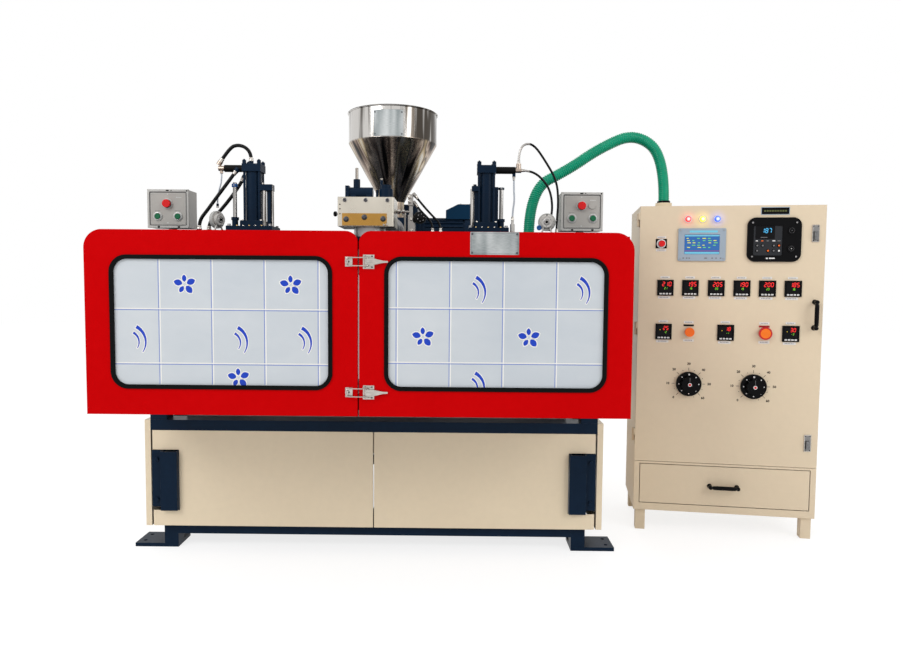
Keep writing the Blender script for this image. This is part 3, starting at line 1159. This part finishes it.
# %% Station bolts and hose sleeves
station_y = -780
station = Piece("station_fittings", "machine", "bright_steel", deck)
for plate_x, half, centre in ((-465, 80, -462), (469, 70, 462)):
    station.bolts(13, steel, 25, *grid((plate_x - half, plate_x + half), (-834, -726)))
    station.cap_screws(4.5, nickel, 47, *grid((centre - 37, centre + 37), (station_y - 37, station_y + 37)))
    for dx in (-48, -24, 0, 24, 48):
        station.cap_screws(3.4, nickel if dx % 48 else brass_fitting, 25, (plate_x + dx, -838))
    station.turned([(3.6, 284), (3.6, 287), (2.6, 288)], navy_plain, 14,
                   *grid((centre - 29, centre + 29), (station_y - 29, station_y + 29)))
for name, (radius, route) in air_routes.items():
    if name == "left_gauge_tube":
        continue
    sleeve = [(radius + more, out) for more, out in (
        (2.6, 0), (2.6, 3), (1.6, 4.5), (1.6, 8), (1.1, 8.6), (1.6, 9.2), (1.5, 13), (0.2, 14.5))]
    for start, following in (route[:2], route[:-3:-1]):
        way = (Vector(following) - Vector(start)).normalized()
        station.on(facing(start, way.orthogonal(), way)).turned(sleeve, nickel, 20)
station.on(deck).ring([(33, 30), (33, 43), (31, 45.5), (27.2, 46)], pale, 36, (684, -280))
station.on(front_at(684, -312.5, 1382)).turned([(3.5, 0), (3.5, 2.4), (2.4, 3.2)], red_cap, 14)
station.on(top_at(1335, -198, 1541)).ring([(30, 1), (30, 9), (28.5, 11), (26.8, 11)], black, 36)
station.close()

# %% [markdown]
# A gauge is a stack of rings on a turned face. The blue clamps ride on the moving rods, not on the machine.

# %% Gauges and rod clamps
gauges = Piece("gauge_faces", "machine", "nickel")
for x, y, turn in ((-603, -790, math.radians(62)), (703, -790, math.radians(-8))):
    gauges.on(facing((x, y, 1397), (math.cos(turn), math.sin(turn), 0), (math.sin(turn), -math.cos(turn), 0)))
    gauges.ring([(34.8, -12.4), (34.8, -0.5), (33.6, 1.2), (31, 1.2), (30, -0.2)], pale, 48)
    gauges.plate((5, 11, 1.5), (0, 27.5), -0.5, 0.5, ink_black, 0.2)
    gauges.ring([(24.2, -0.5), (24.2, 12.6), (22.6, 14.8), (20, 14.8), (19.4, 14.1)], rim_grey, 40)
    gauges.ring([(13, 13.9), (13, 15.4), (11.8, 16), (10, 16), (9.6, 15)], steel, 32)
    gauges.turned([(5.4, 13.9), (5.4, 18.6), (4.2, 19.8), (1.5, 20.2)], black, 20)
    gauges.cap_screws(1.8, steel, 13.6, *circle(17, 3, start=math.radians(30)))
    if x > 0:
        gauges.turned([(10, -10), (10, 3), (8.4, 5), (4, 5), (3.6, 4)], clamp_blue, 24, (-30, -22))
        gauges.turned([(3, -8), (3, 3), (2.4, 4)], steel, 14, (35, 5))
gauges.close()
for name, x, low, tall, finish in (("left", -538, 1527, 1, clamp_blue), ("right", 522, 1523.4, 0.68, navy_plain)):
    clamp = Piece(name + "_rod_clamp", name + "_blow", "bright_steel", top_at(x, station_y, low))
    clamp.ring([(r, h * tall) for r, h in ((8.1, 0), (11.5, 0), (12, 1), (12, 11), (11.4, 12.4), (8.1, 12.4))],
               finish, 28)
    clamp.on(front_at(x, -791.5, low + 6 * tall)).cap_screws(2.8, steel, 0, (0, 0))
    clamp.close()

# %% [markdown]
# ## Die head and hopper details
# The head cover is held by black socket screws, its brass strip by three large bolts. The hopper's band
# carries a riveted plate that follows its curve. The real one has a sign on it, so here it stays bare.

# %% Head screws
head = Piece("head_fittings", "machine", "bright_steel", front_at(0, -875))
for place in ((-85, 1469), (-5, 1469), (79, 1469)):
    head.turned([(8.6, 0), (8.6, 1.2), (7.8, 1.8)], steel, 24, place)
    head.cap_screws(6.4, bronze, 1.6, place)
for place in ((-79, 1395), (-9, 1403), (63, 1397)):
    head.turned([(11, 4.8), (11, 6), (10.2, 6.6)], steel, 28, place)
    head.bolts(16, bronze, 5.4, place)
head.turned([(2.6, -0.4), (2.6, 0.3), (2.2, 0.5)], ink_black, 14, (-104, 1452), (-104, 1435), (-104, 1416))
head.cap_screws(4.2, nickel, 5, (66, 1374))
head.cap_screws(4.2, nickel, 4.6, (77, 1376))
head.bar((-113, -846, 1418), -8, 4.2, steel, 16)
head.on(facing((-120, -846, 1418), (0, -1, 0), (-1, 0, 0)))
head.turned([(6, 0), (9.6, 2), (10.4, 6), (9.4, 11), (5, 13.6)], black, 28)
head.bar((105, -748, 1437), 14, 9.5, nickel, 6)
head.bar((126, -748, 1437), 12, 8.5, nickel, 6)
head.on(front_at(0, -760))
head.bolts(11, nickel, 0, (164, 1363), (164, 1407))
head.bolts(11, nickel, 2, (157, 1477), (157, 1495))
head.on(facing((201, -775.1, 1412), (0.866, 0.5, 0), (0.5, -0.866, 0)))
head.turned([(20, 0), (20, 1.4), (18, 2.2), (9, 2.2), (8.4, 6), (3, 6.6)], black, 36)
head.cap_screws(1.8, steel, 1.9, *circle(14.5, 6, start=math.radians(20)))
head.on(top_at(284, 355, 1591)).cap_screws(4, steel, 0, (82, 10), (134, 10), (82, 90), (134, 90))
head.close()

# %% [markdown]
# The plate on the hopper is bent round the band: its outline is a row of points on the band's own circle.

# %% Hopper plate
hopper_axis = Vector((0, 210, 0))
hopper_plate = Piece("hopper_plate", "machine", "bright_steel", top_at(*hopper_axis))
half_turn, middle = 0.325, -math.pi / 2 - 0.01
turns = [middle + half_turn * (step / 10 - 1) for step in range(21)]
low_edge, high_edge, back, front = 1887, 2019, 233.6, 235.0


def on_band(radius, z):
    return [(radius * math.cos(turn), radius * math.sin(turn), z) for turn in turns]


hopper_plate.rows([on_band(back, low_edge) + on_band(back, high_edge)[::-1],
                   on_band(front, low_edge + 1) + on_band(front, high_edge - 1)[::-1]], plate_metal)
for turn, z in grid((turns[1], turns[-2]), (low_edge + 12, high_edge - 12)):
    out = Vector((math.cos(turn), math.sin(turn), 0))
    hopper_plate.on(facing(hopper_axis + Vector((0, 0, z)) + out * 234.8, Vector((0, 0, 1)).cross(out), out))
    hopper_plate.turned([(4, 0), (3.8, 1.2), (2.4, 2.2), (0.8, 2.5)], bronze, 16)
hopper_plate.close()

# %% [markdown]
# ## Latch screws
# The over-centre latches are pressed from nickel-plated steel. Four small screws hold each base to the leaf,
# and one holds each keeper.

# %% Latch screws
latch_places = {"right": grid((25, 49), (1207, 1245, 743, 781)), "left": [(-33, 1226), (-33, 762)]}
for name, places in latch_places.items():
    screws = Piece(name + "_latch_screws", name + "_door_leaf", "nickel", door_front)
    screws.cap_screws(2.9, bronze, 1.6, *places)
    screws.close()

# %% [markdown]
# ## The floor and the light
# The floor is plain and pale, and the world is an even white, as in a product photograph. Large soft lamps
# from the left and from above shape the parts without hard shadows.

# %% Floor, lamps and world
floor_mesh = bpy.data.meshes.new("floor")
reach = 14.0
floor_mesh.from_pydata([(-reach, -reach, 0), (reach, -reach, 0), (reach, reach, 0), (-reach, reach, 0)], [],
                       [(0, 1, 2, 3)])
floor = add_object("floor", floor_mesh)
floor_finish = Finish("studio_floor", (0.86, 0.86, 0.86), 0.7)
surface = Wire(floor_finish, floor_finish.surface.outputs[0])
glow = floor_finish.node("Emission", None, Color=(1.0, 1.0, 1.0), Strength=1.2)
lit = floor_finish.node("MixShader", None, floor_finish.seen() * 0.65, surface, glow)
floor_finish.tree.links.new(lit.socket, floor_finish.tree.nodes["Material Output"].inputs["Surface"])
floor_mesh.materials.append(floor_finish.material)


def soft_lamp(name, place, aim, size, power):
    lamp_data = bpy.data.lights.new(name, "AREA")
    lamp_data.shape = "RECTANGLE"
    lamp_data.size, lamp_data.size_y = size
    lamp_data.energy = power
    lamp = add_object(name, lamp_data)
    lamp.location = place
    lamp.rotation_mode = "QUATERNION"
    lamp.rotation_quaternion = (Vector(aim) - Vector(place)).to_track_quat("-Z", "Y")


soft_lamp("key", (-3.2, -4.2, 4.2), (0.2, -0.4, 0.9), (2.6, 2.6), 120)
soft_lamp("fill", (4.4, -3.6, 3.0), (0.8, -0.4, 0.9), (2.2, 2.2), 55)
soft_lamp("rear", (0.5, 4.0, 4.5), (0.3, 0.0, 1.2), (3.5, 2.0), 60)

world = bpy.data.worlds.new("studio")
bpy.context.scene.world = world
world.use_nodes = True
sky = Graph(world.node_tree)
ambient = sky.tree.nodes["Background"]
ambient.inputs["Color"].default_value = (1, 1, 1, 1)
ambient.inputs["Strength"].default_value = 0.72
white = sky.node("Background", None, Color=(1.0, 1.0, 1.0), Strength=1.0)
blend = sky.node("MixShader", None, sky.seen(), Wire(sky, ambient.outputs[0]), white)
sky.tree.links.new(blend.socket, sky.tree.nodes["World Output"].inputs["Surface"])
bpy.context.scene.view_settings.view_transform = "Standard"
print("studio ready")
